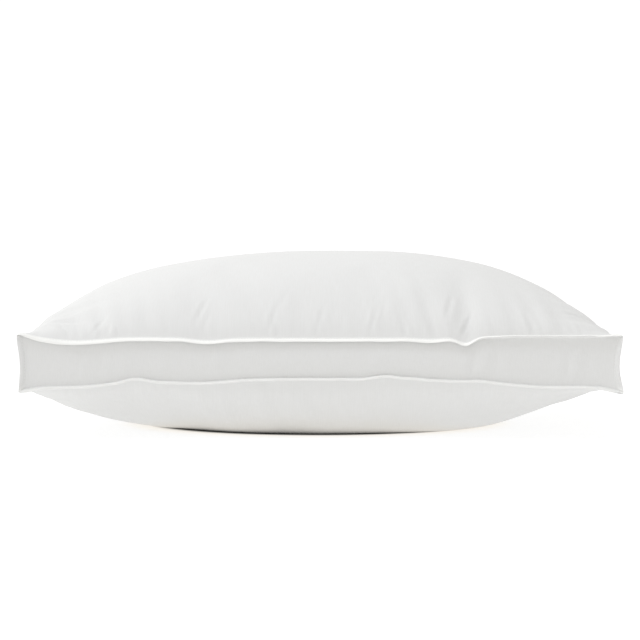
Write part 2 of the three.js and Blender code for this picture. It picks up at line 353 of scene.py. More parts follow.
def betweenColumns(moves):  # from every second column of the grid to all of them
    full = np.empty((2 * len(moves) - 1, *moves.shape[1:]))
    full[::2] = moves
    full[1::2] = (moves[1:] + moves[:-1]) / 2
    return full


def blownWrinkles(top, bottom):
    thinTop, thinBottom = top[::2], bottom[::2]
    thinWeb = straightWeb(thinTop, thinBottom, blowing["webRows"])
    points, faces, pinned = shellMesh(thinTop, thinBottom, thinWeb)
    moves = blowUp(points, faces, pinned) - points
    size = np.linalg.norm(moves, axis=1, keepdims=True)
    moves *= np.minimum(1, blowing["reach"] / np.maximum(size, tiny))
    count = thinTop.size // 3
    fromSeam = np.minimum(1 - np.abs(u), 1 - np.abs(v))
    held = np.minimum(1, blowing["seamHold"] * fromSeam)[..., None]
    both = (moves[:count].reshape(thinTop.shape), moves[count:2 * count].reshape(thinTop.shape))
    return [held * betweenColumns(wrinklesOnly(m)) for m in both]


topGrid, bottomGrid = softForm()
say(f"form of {u.shape[0]} by {u.shape[1]} points a panel")
topWrinkles = bottomWrinkles = np.zeros(topGrid.shape)
topWrinkles, bottomWrinkles = blownWrinkles(topGrid, bottomGrid)
say("cloth blown up and wrinkled")
topGrid = topGrid + topWrinkles
ironed = 8 * mm  # the table irons the bottom panel out, less and less up to this height
bottomGrid = bottomGrid + np.clip(bottomGrid[..., 2:] / ironed, 0, 1) * bottomWrinkles
bottomGrid[..., 2] = np.maximum(bottomGrid[..., 2], 0)

lastU, lastV = cells["length"], cells["depth"]
ring = ringOf(u.shape)
ringPlace = {cell: k for k, cell in enumerate(ring)}
ringI, ringJ = np.array(ring).T
outX = np.where(ringI == 0, -1, np.where(ringI == lastU, 1, 0))
outY = np.where(ringJ == 0, -1, np.where(ringJ == lastV, 1, 0))
ringU, ringV = u[ringI, ringJ], v[ringI, ringJ]
ringX = topGrid[ringI, ringJ, 0]
ringRun = np.insert(np.cumsum(np.linalg.norm(np.diff(topGrid[ringI, ringJ, :2], axis=0), axis=1)), 0, 0)


# Folds across the front gusset, in mm: place along X, half-width, depth
gussetFolds = [(-236, 7, 0.5), (-96, 9, 0.4), (34, 8, 0.4), (163, 4.5, 1.1), (178, 4.5, -0.7), (212, 6, 0.5),
               (266, 6, 0.8), (286, 5, 0.7)]
gussetCloth = {
    "slant": 7.5 * mm,  # how far its wrinkles lean to the left on their way down, seen from outside
    "crinkle": 0.22 * mm,  # the small wrinkles all round, from short to long
    "short": 12 * mm,
    "long": 45 * mm,
    "cornerHold": 6,  # the higher, the nearer to a corner they start
    "fullness": 0.6,  # the lower, the nearer to the seams they keep their height
}


def dip(t):  # a fold's profile: a valley between two low shoulders
    return -(1 - t * t) * np.exp(-0.5 * t * t)


def gussetWeb():
    # The gusset between the two seams: rows from top to bottom, each round the whole ring
    rows = straightWeb(topGrid, bottomGrid, cells["gusset"])
    share = np.linspace(0, 1, cells["gusset"] + 1)[:, None]
    between = np.sin(math.pi * share)
    fromCorner = 1 - np.maximum(np.abs(ringU) * (outX == 0), np.abs(ringV) * (outY == 0))
    fade = np.minimum(1, gussetCloth["cornerHold"] * fromCorner)
    lean = (share - 0.5) * gussetCloth["slant"]
    out = form["gussetBulge"] * (1 - np.minimum(np.abs(ringU), np.abs(ringV)) ** 2) * between
    crinkle = ripple(ringRun + lean, gussetCloth["short"], gussetCloth["long"])
    crinkle = gussetCloth["crinkle"] * crinkle * fade
    for place, width, depth in gussetFolds:
        fold = depth * mm * dip((ringX + lean - place * mm) / (width * mm))
        crinkle = crinkle + np.where(outY == -1, fold, 0) * fade
    out = out + crinkle * between ** gussetCloth["fullness"]
    rows[..., 0] += out * outX
    rows[..., 1] += out * outY
    return rows


web = gussetWeb()

# The flange: both plies pinched together, stitched at the root and folded at the tip

flange = {
    "rows": [0, 0.9, 2.0, 3.2, 4.4, 5.4, 6.0],  # mm out from the stitches
    "plies": [0.7, 0.95, 1.25, 1.4, 1.25, 0.8, 0.1],  # half-thickness there, in mm
    "ruffle": 5,  # how unevenly it leans, in degrees, in waves from short to long
    "short": 14 * mm,
    "long": 50 * mm,
    "sway": {"top": 0.28, "low": 0.2},  # how much its lean wanders at the back and the ends, in radians
    "soften": 1.2,  # how far its lean is evened out along the seam, in cells
    "cornerBow": {"left": 0.6, "right": 2.2},  # mm by which the upright corner margins are drawn in
}
rowOut = np.array(flange["rows"]) * mm
rowHalf = np.array(flange["plies"]) * mm
rowCount = len(rowOut) - 1
# How far the flange leans down from level, in degrees, along the front: (place along X in mm, lean)
topLeans = [(-314, 36), (-304, 64), (-285, 58), (-255, 42), (-200, 30), (-60, 26), (60, 26), (125, 30),
            (156, 20), (168, 0), (215, -14), (262, -14), (295, -8), (314, 0)]
bottomLeans = [(-314, 25), (-290, 16), (-200, 12), (-120, 16), (-40, 12), (70, 10), (140, 12), (230, 14),
               (290, 14), (314, 30)]
# Ears that the packing bent: corner, how far it was pulled, and over what reach, in mm
bentEars = [((317, -241, 57), (3.5, -1, -3.5), 10), ((-317, -241, 57), (-1, 0, -2), 13),
            ((317, -241, 105), (2, -0.5, 2), 13), ((-317, -241, 104), (-3.6, -0.5, 6), 14)]


def leansOf(frontLeans, sway):
    places, degrees = zip(*frontLeans)
    lean = np.interp(ringX, np.array(places) * mm, degrees)
    for side, along in ((outY == 1, ringU), (outX == 1, ringV), (outX == -1, ringV)):
        wave = np.degrees(looseWave(along, sway))
        start = (1 - along) / 2 * degrees[0] + (1 + along) / 2 * degrees[-1]
        lean = np.where(side & (outY != -1), wave + start * along ** 4, lean)
    lean = lean + flange["ruffle"] * ripple(ringRun, flange["short"], flange["long"]) * (outX * outY == 0)
    return np.radians(blurRound(lean, flange["soften"]))


topLean = leansOf(topLeans, flange["sway"]["top"])
bottomLean = leansOf(bottomLeans, flange["sway"]["low"])


def flangePoint(root, k, stepX, stepY, lean, half):
    # stepX and stepY: how far out in X and Y, signed. half: offset along the flange's own normal
    out = max(abs(stepX), abs(stepY))
    ways = np.array([float(outX[k]), float(outY[k])])
    normal = ways / max(np.linalg.norm(ways), tiny) * math.sin(lean[k]) * half
    return np.array([root[0] + stepX * math.cos(lean[k]) + normal[0],
                     root[1] + stepY * math.cos(lean[k]) + normal[1],
                     root[2] - out * math.sin(lean[k]) + half * math.cos(lean[k])])


def withBentEars(points):
    points = np.array(points, float)
    for corner, pull, reach in bentEars:
        away = np.linalg.norm(points - np.array(corner) * mm, axis=1, keepdims=True) / (reach * mm)
        points = points + np.array(pull) * mm * np.exp(-away ** 2)
    return points


# Which way each seam's run into the cloth is counted: (grid axis, from its end)
seamRuns = {"fromFront": (1, False), "fromBack": (1, True), "fromLeft": (0, False), "fromRight": (0, True)}


def runIn(grid, axis, fromEnd):  # how far each point lies from a seam, along the cloth
    steps = np.linalg.norm(np.diff(grid, axis=axis), axis=-1)
    run = np.insert(np.cumsum(steps, axis=axis), 0, 0, axis=axis)
    return run.take([-1], axis) - run if fromEnd else run


# How much whiter the flange is drawn on each part that makes it up: 0 like the single cloth, 1 fully white.
# A little of it is the real whiteness of four plies; most is a painted highlight, strongest on the faces
# that look up to the lamps and weakest under the top lip
flangeWhiteAndHighlight = {"topPanel": 1, "lowPanel": 0.5, "top": 0.2, "low": 0.7}  # top and low: the gussets' two edges


def panelWithFlange(name, grid, lean, side):
    # side is 1 for the top panel, whose flange is the upper ply, and -1 for the bottom panel
    def line(last):
        return [(min(max(a, 0), last), -min(a, 0) + max(a - last, 0), -1 if a < 0 else 1)
                for a in range(-rowCount, last + rowCount + 1)]
    points, uvs = [], []
    runs = {seam: runIn(grid, axis, fromEnd) for seam, (axis, fromEnd) in seamRuns.items()}
    marks = {mark: [] for mark in (*seamRuns, "plies")}
    for i, stepsI, wayI in line(lastU):
        for j, stepsJ, wayJ in line(lastV):
            point = grid[i, j]
            if (i, j) in ringPlace:
                stepX, stepY = wayI * rowOut[stepsI], wayJ * rowOut[stepsJ]
                half = side * rowHalf[max(stepsI, stepsJ)]
                point = flangePoint(point, ringPlace[i, j], stepX, stepY, lean, half)
            points.append(point)
            uvs.append((u[i, j] * seamX + wayI * rowOut[stepsI], v[i, j] * seamY + wayJ * rowOut[stepsJ]))
            # the flange rows get their share of the painted highlight
            marks["plies"].append(flangeWhiteAndHighlight["topPanel" if side > 0 else "lowPanel"] * (max(stepsI, stepsJ) > 0))
            for seam, run in runs.items():
                marks[seam].append(run[i, j])
    shape = (lastU + 2 * rowCount + 1, lastV + 2 * rowCount + 1)
    return meshObject(name, withBentEars(points), gridFaces(*shape, flipped=side < 0), uvs, marks=marks)


# The stations of each gusset band, going round the ring anticlockwise from the front left corner
bands = {
    "front": list(range(0, lastU + 1)),
    "right": list(range(lastU, lastU + lastV + 1)),
    "back": list(range(lastU + lastV, 2 * lastU + lastV + 1)),
    "left": [k % len(ring) for k in range(2 * lastU + lastV, 2 * lastU + 2 * lastV + 1)],
}
stitchOut = 1.4 * mm  # where the row of stitches lies on the flange
clothEdge = 0.05  # how far a band's seams lie from its middle line in the UV map, in metres
cornerRows = {}  # (band, end) -> points and outward normals of the corner seam on that band


def gussetBand(name, side, stations):
    # A band with its turned-out edges, and a pinched margin at each end along the corner seam
    height = cells["gusset"]
    points, uvs, faces, plies, known = [], [], [], [], {}
    run = np.cumsum([0] + [np.linalg.norm(web[0, b] - web[0, a]) for a, b in zip(stations, stations[1:])])

    def put(key, point, uv):
        known[key] = len(points)
        points.append(point)
        uvs.append(uv)
        # the flange rows get their share of the painted highlight
        plies.append(flangeWhiteAndHighlight.get(key[0], 0) * (key[2] > 0))

    def edgePoint(k, row, lean, root, ply):
        step = rowOut[row]
        return flangePoint(root, k, outX[k] * step, outY[k] * step, lean, ply * rowHalf[row])

    def cornerWays(end, inward):  # out along the corner's diagonal, and square to it along the band
        k = stations[end]
        diagonal = np.array([outX[k], outY[k], 0.0]) / math.sqrt(2)
        across = web[0, stations[end + inward]] - web[0, k]
        across = (across - diagonal * across.dot(diagonal)) * [1, 1, 0]
        return diagonal, across / np.linalg.norm(across)

    last = len(stations) - 1
    for c, k in enumerate(stations):
        for row in range(rowCount + 1):
            onCloth = rowOut[row] + clothEdge
            put(("top", c, row), edgePoint(k, row, topLean, web[0, k], -1), (run[c], onCloth))
            put(("low", c, row), edgePoint(k, row, bottomLean, web[-1, k], 1), (run[c], -onCloth))
        for row in range(1, height):
            put(("web", c, row), web[row, k], (run[c], clothEdge * (1 - 2 * row / height)))

    def at(c, row):  # a point of the web, or of a corner margin where c runs past the ends
        end, beyond = (0, -c) if c < 0 else (last, c - last)
        if 0 <= c <= last:
            end, beyond = c, 0
        if row in (0, height):
            return known["top" if row == 0 else "low", end, beyond]
        return known[("web", end, row) if beyond == 0 else ("margin", end, beyond, row)]

    for end, inward in ((0, 1), (last, -1)):
        k = stations[end]
        diagonal, across = cornerWays(end, inward)
        drawnIn = flange["cornerBow"]["left" if outX[k] < 0 else "right"] * mm
        for row in range(1, height):
            share = row / height
            bow = math.sin(math.pi * share)
            points[known["web", end, row]] = web[row, k] + across * rowHalf[0]
            for beyond in range(1, rowCount + 1):
                upper = points[known["top", end, beyond]]
                lower = points[known["low", end, beyond]]
                point = upper * (1 - share) + lower * share
                point = point + across * rowHalf[beyond] * min(1, 2 * bow) - diagonal * drawnIn * bow
                uv = (run[end] - inward * rowOut[beyond], clothEdge * (1 - 2 * share))
                put(("margin", end, beyond, row), point, uv)

    for c in range(-rowCount, last + rowCount):
        for row in range(height):
            faces.append((at(c, row), at(c, row + 1), at(c + 1, row + 1), at(c + 1, row)))
    for c in range(last):
        for row in range(rowCount):
            faces.append((known["top", c, row + 1], known["top", c, row],
                          known["top", c + 1, row], known["top", c + 1, row + 1]))
            faces.append((known["low", c, row], known["low", c, row + 1],
                          known["low", c + 1, row + 1], known["low", c + 1, row]))
    points = withBentEars(points)
    share = (stitchOut - rowOut[1]) / (rowOut[2] - rowOut[1])
    for end, inward in ((0, 1), (last, -1)):
        line = np.array([points[known["margin", end, 1, row]] * (1 - share)
                         + points[known["margin", end, 2, row]] * share for row in range(1, height)])
        cornerRows[side, end] = (line, np.tile(cornerWays(end, inward)[1], (len(line), 1)))
    band = meshObject(name, points, faces, uvs, marks={"plies": plies})
    # The corner margin meets the flange at a sharp edge
    ends = {known[edge, end, row]
            for edge in ("top", "low") for end in (0, last) for row in range(rowCount + 1)}
    crease = band.data.attributes.new("crease_edge", "FLOAT", "EDGE")
    for edge in band.data.edges:
        crease.data[edge.index].value = float(ends.issuperset(edge.vertices))
    return band


# Puckers beside the seams, and the folds that stand alone

puckering = [
    # wavelengths along the seam, height, and how far in from the seam they are tallest
    {"short": 8 * mm, "long": 20 * mm, "size": 0.25 * mm, "reach": 7 * mm},
    {"short": 24 * mm, "long": 70 * mm, "size": 0.42 * mm, "reach": 26 * mm},
]
puckerSlant = 0.3  # the most that they lean sideways for each mm in from the seam
# They stand in patches: mean height, how much it swings, and the patches' shortest and longest
# waves, in multiples of the longest pucker's
patches = {"mean": 0.65, "swing": 0.35, "short": 4, "long": 9}
seamKeep = {"puckers": 5 * mm, "folds": 4 * mm}  # from a seam to where they reach their height
# Folds that run up from the front seam of the top panel, in mm: place along X, where they begin and
# end above the seam, half-width, depth, and how far they lean over to the right for each mm up
frontFolds = [(-266, 4, 26, 3, 0.8, -0.5), (-247, 5, 30, 2.6, 0.7, 0.5), (-230, 3, 20, 2.6, 0.6, 0.3),
              (-140, 24, 58, 2.6, 1.0, 0.3), (-128, 10, 34, 2.4, 0.5, 0.25), (-57, 8, 46, 2.6, 1.0, 0.25),
              (-50, 26, 60, 2.6, 0.6, 0.2), (-6, 4, 40, 2.6, 0.7, 0.25), (52, 6, 36, 2.6, 1.0, 0.25),
              (61, 16, 44, 2.4, 0.6, 0.2), (131, 28, 60, 3, 1.1, 0.2), (148, 8, 36, 2.5, 1.7, 0.42),
              (155, 4, 22, 2.4, 0.8, 0.35), (228, 4, 34, 3.5, 0.5, -0.2)]


def puckersAt(points, runs):
    total = np.zeros(len(points))
    for name, (axis, fromEnd) in seamRuns.items():
        run = runs[name]
        for kind in puckering:
            place = points[:, 1 - axis] + run * rng.uniform(-puckerSlant, puckerSlant)
            height = run / kind["reach"] * np.exp(1 - run / kind["reach"])
            patchy = ripple(place, patches["short"] * kind["long"], patches["long"] * kind["long"])
            patchy = patches["mean"] + patches["swing"] * patchy
            total += kind["size"] * ripple(place, kind["short"], kind["long"]) * height * patchy
    nearest = np.minimum.reduce(list(runs.values()))
    return total * np.clip(nearest / seamKeep["puckers"], 0, 1)


# The folds from the other seams are scattered: how many, and how far from the middle of the side
otherFolds = {"fromBack": (16, 285), "fromLeft": (11, 205), "fromRight": (11, 205)}
# The least and the most of each measure that frontFolds lists after the place
foldRanges = {"begin": (4, 8), "end": (26, 66), "width": (2.4, 4.6), "depth": (0.6, 1.5),
              "leanOver": (-0.35, 0.35)}
foldRng = np.random.default_rng(7)


def scatteredFolds(count, farthest):
    low, high = zip((-farthest, farthest), *foldRanges.values())
    return foldRng.uniform(low, high, (count, len(low)))


def foldsAt(place, run, folds):
    total = np.zeros(len(place))
    for where, start, end, width, depth, leanOver in folds:
        middle, half = (start + end) / 2 * mm, (end - start) / 2 * mm
        across = (place - where * mm - leanOver * run) / (width * mm)
        total += depth * mm * dip(across) * np.exp(-((run - middle) / half) ** 4)
    return total * np.clip(run / seamKeep["folds"], 0, 1)


def smoothed(piece):  # one level of subdivision, made part of the mesh
    smooth = piece.modifiers.new("Fine", "SUBSURF")
    smooth.levels = smooth.render_levels = 1
    madeReal(piece, smooth)


def crumple(piece, withFolds):
    mesh = piece.data
    points, normals = vertexArray(mesh, "co"), vertexArray(mesh, "normal")
    runs = {}
    for name in seamRuns:
        runs[name] = np.empty(len(points))
        mesh.attributes[name].data.foreach_get("value", runs[name])
        mesh.attributes.remove(mesh.attributes[name])
    height = puckersAt(points, runs)
    if withFolds:
        height += foldsAt(points[:, 0], runs["fromFront"], frontFolds)
        for name, scatter in otherFolds.items():
            height += foldsAt(points[:, 1 - seamRuns[name][0]], runs[name], scatteredFolds(*scatter))
    else:
        height *= np.clip((points[:, 2] - 1 * mm) / ironed, 0, 1)
    moveVertices(mesh, points + normals * height[:, None])


def clothWall(piece, wall=0.35 * mm):
    thick = piece.modifiers.new("Cloth", "SOLIDIFY")
    thick.thickness = wall
    thick.offset = -1
    thick.use_rim = True


topCloth = panelWithFlange("top_panel_cloth", topGrid, topLean, 1)
bottomCloth = panelWithFlange("bottom_panel_cloth", bottomGrid, bottomLean, -1)
gussets = {side: gussetBand(side + "_gusset_cloth", side, stations) for side, stations in bands.items()}
shellPieces = (topCloth, bottomCloth, *gussets.values())
for piece in shellPieces:
    smoothed(piece)
crumple(topCloth, True)
crumple(bottomCloth, False)
for piece in shellPieces:
    clothWall(piece)
say("panels and gussets sewn")


def fillingPiece(gap=2.5 * mm):  # the fibre, just under the cloth
    points, faces, _ = shellMesh(topGrid, bottomGrid, web)
    batt = meshObject("fibre_batt", points, faces)
    moveVertices(batt.data, points - vertexArray(batt.data, "normal") * gap)
    return batt


batt = fillingPiece()
say("filling made")

# Materials


def newMaterial(name):
    material = bpy.data.materials.new(name)
    material.use_nodes = True
    tree = material.node_tree
    tree.nodes.clear()
    shader = addNode(tree, "ShaderNodeBsdfPrincipled")
    addNode(tree, "ShaderNodeOutputMaterial", links={"Surface": shader.outputs["BSDF"]})
    return material, tree, shader


def cottonPercale():
    # Cotton percale, plain-woven and washed: a soft matt white with slubs in the yarn, so that the
    # eye reads cloth and not plastic. A faint fuzz brightens the edges.
    cotton = {
        "colour": "#E2E2E1",
        "slubColour": "#DDDDDB",
        # the flange's whiter colour: partly four plies of cloth, mostly a painted highlight
        "flangeWhiteAndHighlightColour": "#F6F6F3",
        "roughness": 0.88,
        "sheen": 0.12,
        "yarn": 1.2 * mm,  # real ones lie 0.35 mm apart, too fine to show
        "slubLength": 14,  # in yarns
        "crease": 14 * mm,
    }
    material, tree, shader = newMaterial("cotton_percale")
    shader.inputs["Roughness"].default_value = cotton["roughness"]
    shader.inputs["Sheen Weight"].default_value = cotton["sheen"]
    shader.inputs["Sheen Roughness"].default_value = 0.5
    shader.inputs["IOR"].default_value = 1.45
    shader.inputs["Specular IOR Level"].default_value = 0.25
    flat = addNode(tree, "ShaderNodeUVMap", {"uv_map": "cloth"})
    yarns = 1 / cotton["yarn"]
    slubs = []
    for scale in ((yarns, yarns / cotton["slubLength"], 1), (yarns / cotton["slubLength"], yarns, 1)):
        along = addNode(tree, "ShaderNodeMapping", inputs={"Scale": scale},
                        links={"Vector": flat.outputs["UV"]})
        slubs.append(addNode(tree, "ShaderNodeTexNoise", {"noise_dimensions": "2D"},
                             {"Scale": 1.0, "Detail": 2.0}, {"Vector": along.outputs["Vector"]}))
    weave = addNode(tree, "ShaderNodeMath", {"operation": "ADD"}, None,
                    {0: slubs[0].outputs["Fac"], 1: slubs[1].outputs["Fac"]})
    # Washed cloth also crumples softly, a centimetre or so from crease to crease
    creases = addNode(tree, "ShaderNodeTexNoise", {"noise_dimensions": "2D"},
                      {"Scale": 1 / cotton["crease"], "Detail": 3.0, "Roughness": 0.6, "Distortion": 0.4},
                      {"Vector": flat.outputs["UV"]})
    fine = addNode(tree, "ShaderNodeBump", inputs={"Strength": 0.25, "Distance": 0.15 * mm},
                   links={"Height": weave.outputs["Value"]})
    soft = addNode(tree, "ShaderNodeBump", inputs={"Strength": 0.35, "Distance": 0.8 * mm},
                   links={"Height": creases.outputs["Fac"], "Normal": fine.outputs["Normal"]})
    tint = addNode(tree, "ShaderNodeMix", {"data_type": "RGBA"},
                   {6: linear(cotton["colour"]), 7: linear(cotton["slubColour"])},
                   {0: slubs[0].outputs["Fac"]})
    # The flange is four plies thick and a little whiter than the single cloth; most of its extra whiteness
    # is a painted highlight along the lips, set on each part by the plies attribute
    plies = addNode(tree, "ShaderNodeAttribute", {"attribute_name": "plies"})
    whole = addNode(tree, "ShaderNodeMix", {"data_type": "RGBA"}, {7: linear(cotton["flangeWhiteAndHighlightColour"])},
                    {0: plies.outputs["Fac"], 6: tint.outputs[2]})
    tree.links.new(whole.outputs[2], shader.inputs["Base Color"])
    tree.links.new(soft.outputs["Normal"], shader.inputs["Normal"])
    return material


def polyesterFibre():
    # Siliconised polyester fibrefill: bright white, matt and fuzzy, with no single surface
    material, tree, shader = newMaterial("polyester_fibrefill")
    shader.inputs["Base Color"].default_value = linear("#F0F0EE")
    shader.inputs["Roughness"].default_value = 1.0
    shader.inputs["Sheen Weight"].default_value = 0.4
    place = addNode(tree, "ShaderNodeTexCoord")
    tuft = 9 * mm
    tufts = addNode(tree, "ShaderNodeTexNoise", None, {"Scale": 1 / tuft, "Detail": 6.0, "Roughness": 0.7},
                    {"Vector": place.outputs["Object"]})
    fuzz = addNode(tree, "ShaderNodeBump", inputs={"Strength": 0.8, "Distance": 1.5 * mm},
                   links={"Height": tufts.outputs["Fac"]})
    tree.links.new(fuzz.outputs["Normal"], shader.inputs["Normal"])
    return material


def spunThread():
    # Spun polyester sewing thread: white, with a soft shine that picks out each stitch
    material, tree, shader = newMaterial("spun_polyester_thread")
    shader.inputs["Base Color"].default_value = linear("#EAEAE8")
    shader.inputs["Roughness"].default_value = 0.6
    shader.inputs["Sheen Weight"].default_value = 0.2
    place = addNode(tree, "ShaderNodeTexCoord")
    # A ply of the thread is 0.15 mm wide, drawn 0.4 mm so that it shows
    hairs = addNode(tree, "ShaderNodeTexNoise", inputs={"Scale": 1 / (0.4 * mm), "Detail": 2.0},
                    links={"Vector": place.outputs["Object"]})
    twist = addNode(tree, "ShaderNodeBump", inputs={"Strength": 0.4, "Distance": 0.08 * mm},
                    links={"Height": hairs.outputs["Fac"]})
    tree.links.new(twist.outputs["Normal"], shader.inputs["Normal"])
    return material


def satinRibbon():
    # Woven satin ribbon: brighter and smoother than the cotton, with fine ribs along its length
    material, tree, shader = newMaterial("polyester_satin_ribbon")
    shader.inputs["Base Color"].default_value = linear("#E4E4E3")
    shader.inputs["Roughness"].default_value = 0.38
    shader.inputs["Sheen Weight"].default_value = 0.15
    shader.inputs["IOR"].default_value = 1.5
    flat = addNode(tree, "ShaderNodeUVMap", {"uv_map": "cloth"})
    rib = 0.6 * mm  # real warp yarns lie 0.1 mm apart, too fine to show
    bandWidth = 0.314  # of a wave texture at a scale of 1
    ribs = addNode(tree, "ShaderNodeTexWave", {"wave_type": "BANDS", "bands_direction": "X"},
                   {"Scale": bandWidth / rib, "Distortion": 0.6, "Detail": 1.0},
                   {"Vector": flat.outputs["UV"]})
    relief = addNode(tree, "ShaderNodeBump", inputs={"Strength": 0.5, "Distance": 0.1 * mm},
                     links={"Height": ribs.outputs["Fac"]})
    tree.links.new(relief.outputs["Normal"], shader.inputs["Normal"])
    return material


cottonCloth, threadFinish, satinFinish = cottonPercale(), spunThread(), satinRibbon()
for piece in shellPieces:
    piece.data.materials.append(cottonCloth)
batt.data.materials.append(polyesterFibre())

# The lockstitches, each row strung along its seam by Geometry Nodes

# Wander is how far a stitch may be turned off its line, in degrees
stitch = {"Pitch": 3.2 * mm, "Stitch length": 2.7 * mm, "Thread": 0.5 * mm, "Wander": 4.0}
stitchLift = 0.04 * mm  # from the cloth to the middle of the thread


def stitchTree():
    tree = bpy.data.node_groups.new("lockstitch_row", "GeometryNodeTree")
    tree.interface.new_socket("Path", in_out="INPUT", socket_type="NodeSocketGeometry")
    for name in stitch:
        tree.interface.new_socket(name, in_out="INPUT", socket_type="NodeSocketFloat")
    tree.interface.new_socket("Seed", in_out="INPUT", socket_type="NodeSocketInt")
    tree.interface.new_socket("Material", in_out="INPUT", socket_type="NodeSocketMaterial")
    tree.interface.new_socket("Stitches", in_out="OUTPUT", socket_type="NodeSocketGeometry")
    given = addNode(tree, "NodeGroupInput").outputs
    line = addNode(tree, "GeometryNodeMeshToCurve", links={"Mesh": given["Path"]})
    even = addNode(tree, "GeometryNodeResampleCurve", {"mode": "LENGTH"}, None,
                   {"Curve": line.outputs["Curve"], "Length": given["Pitch"]})
    ahead = addNode(tree, "GeometryNodeInputTangent")
    outwards = addNode(tree, "GeometryNodeInputNamedAttribute", {"data_type": "FLOAT_VECTOR"},
                       {"Name": "outwards"})
    facing = next(s for s in outwards.outputs if s.enabled and s.name == "Attribute")
    along = addNode(tree, "FunctionNodeAlignRotationToVector", {"axis": "X"}, None,
                    {"Vector": ahead.outputs["Tangent"]})
    upright = addNode(tree, "FunctionNodeAlignRotationToVector", {"axis": "Z", "pivot_axis": "X"}, None,
                      {"Rotation": along.outputs["Rotation"], "Vector": facing})
    least, most = (addNode(tree, "ShaderNodeMath", {"operation": "MULTIPLY"}, {1: math.radians(degree)},
                           {0: given["Wander"]}) for degree in (-1, 1))
    angle = addNode(tree, "FunctionNodeRandomValue", {"data_type": "FLOAT"}, None,
                    {2: least.outputs["Value"], 3: most.outputs["Value"], "Seed": given["Seed"]})
    turn = addNode(tree, "FunctionNodeAxisAngleToRotation", None, {"Axis": (0, 0, 1)},
                   {"Angle": angle.outputs[1]})
    turned = addNode(tree, "FunctionNodeRotateRotation", {"rotation_space": "LOCAL"}, None,
                     {"Rotation": upright.outputs["Rotation"], "Rotate By": turn.outputs["Rotation"]})
    halfLength, halfThread = (addNode(tree, "ShaderNodeMath", {"operation": "MULTIPLY"}, {1: 0.5},
                                      {0: given[name]}).outputs[0] for name in ("Stitch length", "Thread"))
    size = addNode(tree, "ShaderNodeCombineXYZ", None, None,
                   {"X": halfLength, "Y": halfThread, "Z": halfThread})
    loop = addNode(tree, "GeometryNodeMeshUVSphere", None, {"Segments": 8, "Rings": 5, "Radius": 1.0})
    placed = addNode(tree, "GeometryNodeInstanceOnPoints", None, None,
                     {"Points": even.outputs["Curve"], "Instance": loop.outputs["Mesh"],
                      "Rotation": turned.outputs["Rotation"], "Scale": size.outputs["Vector"]})
    real = addNode(tree, "GeometryNodeRealizeInstances", links={"Geometry": placed.outputs["Instances"]})
    smooth = addNode(tree, "GeometryNodeSetShadeSmooth", links={"Geometry": real.outputs["Geometry"]})
    finish = addNode(tree, "GeometryNodeSetMaterial", None, None,
                     {"Geometry": smooth.outputs["Geometry"], "Material": given["Material"]})
    addNode(tree, "NodeGroupOutput", links={"Stitches": finish.outputs["Geometry"]})
    return tree


rowTree = stitchTree()


def stitchRow(name, path, normals, closed, seed):
    count = len(path)
    edges = [(k, (k + 1) % count) for k in range(count if closed else count - 1)]
    row = meshObject(name, path, [], edges=edges)
    outwards = row.data.attributes.new("outwards", "FLOAT_VECTOR", "POINT")
    outwards.data.foreach_set("vector", np.ravel(normals))
    maker = row.modifiers.new("Stitches", "NODES")
    maker.node_group = rowTree
    values = {**stitch, "Seed": seed, "Material": threadFinish}
    for socket in rowTree.interface.items_tree:
        if socket.in_out == "INPUT" and socket.name in values:
            maker[socket.identifier] = values[socket.name]
    madeReal(row, maker)
    return row


def flangeRow(stations, out, lean, roots, ply):
    # A path on the face of the flange: ply is 1 above it and -1 below it
    half = ply * (np.interp(out, rowOut, rowHalf) + stitchLift)
    path = [flangePoint(roots[k], k, outX[k] * out, outY[k] * out, lean, half) for k in stations]
    ways = np.stack([outX, outY], 1)[stations] / np.maximum(np.hypot(outX, outY), 1)[stations][:, None]
    tilt = lean[stations]
    normals = ply * np.column_stack([ways * np.sin(tilt)[:, None], np.cos(tilt)])
    return withBentEars(path), normals


wholeRing = list(range(len(ring)))
stitchRows = {}  # CAD node -> name, path, normals, and whether the row is closed
for seam, lean, roots, outer in (("top", topLean, web[0], 1), ("bottom", bottomLean, web[-1], -1)):
    for kind, ply in (("needle", outer), ("bobbin", -outer)):
        stitchRows[f"{seam}_{kind}_thread"] = (
            f"{seam}_{kind}_stitches", *flangeRow(wholeRing, stitchOut, lean, roots, ply), True)
closing = {"length": 220 * mm, "inset": 3.6 * mm}
closingStations = [k for k in bands["back"] if abs(ringX[k]) <= closing["length"] / 2]
stitchRows["closing_thread"] = (
    "closing_stitches", *flangeRow(closingStations, closing["inset"], bottomLean, web[-1], -1), False)
corners = {"front_left": ("front", 0, "left", lastV), "front_right": ("front", lastU, "right", 0),
           "back_right": ("back", 0, "right", lastV), "back_left": ("back", lastU, "left", 0)}
for corner, (longBand, longEnd, shortBand, shortEnd) in corners.items():
    for kind, band, end in (("needle", longBand, longEnd), ("bobbin", shortBand, shortEnd)):
        stitchRows[f"{corner}_corner_{kind}_thread"] = (
            f"{corner}_corner_{kind}_stitches", *cornerRows[band, end], False)
threads = {node: stitchRow(*row, seed) for seed, (node, row) in enumerate(stitchRows.items())}
say(f"{len(threads)} rows of stitches sewn")

# The care label, a blank folded ribbon caught in the top seam at the back

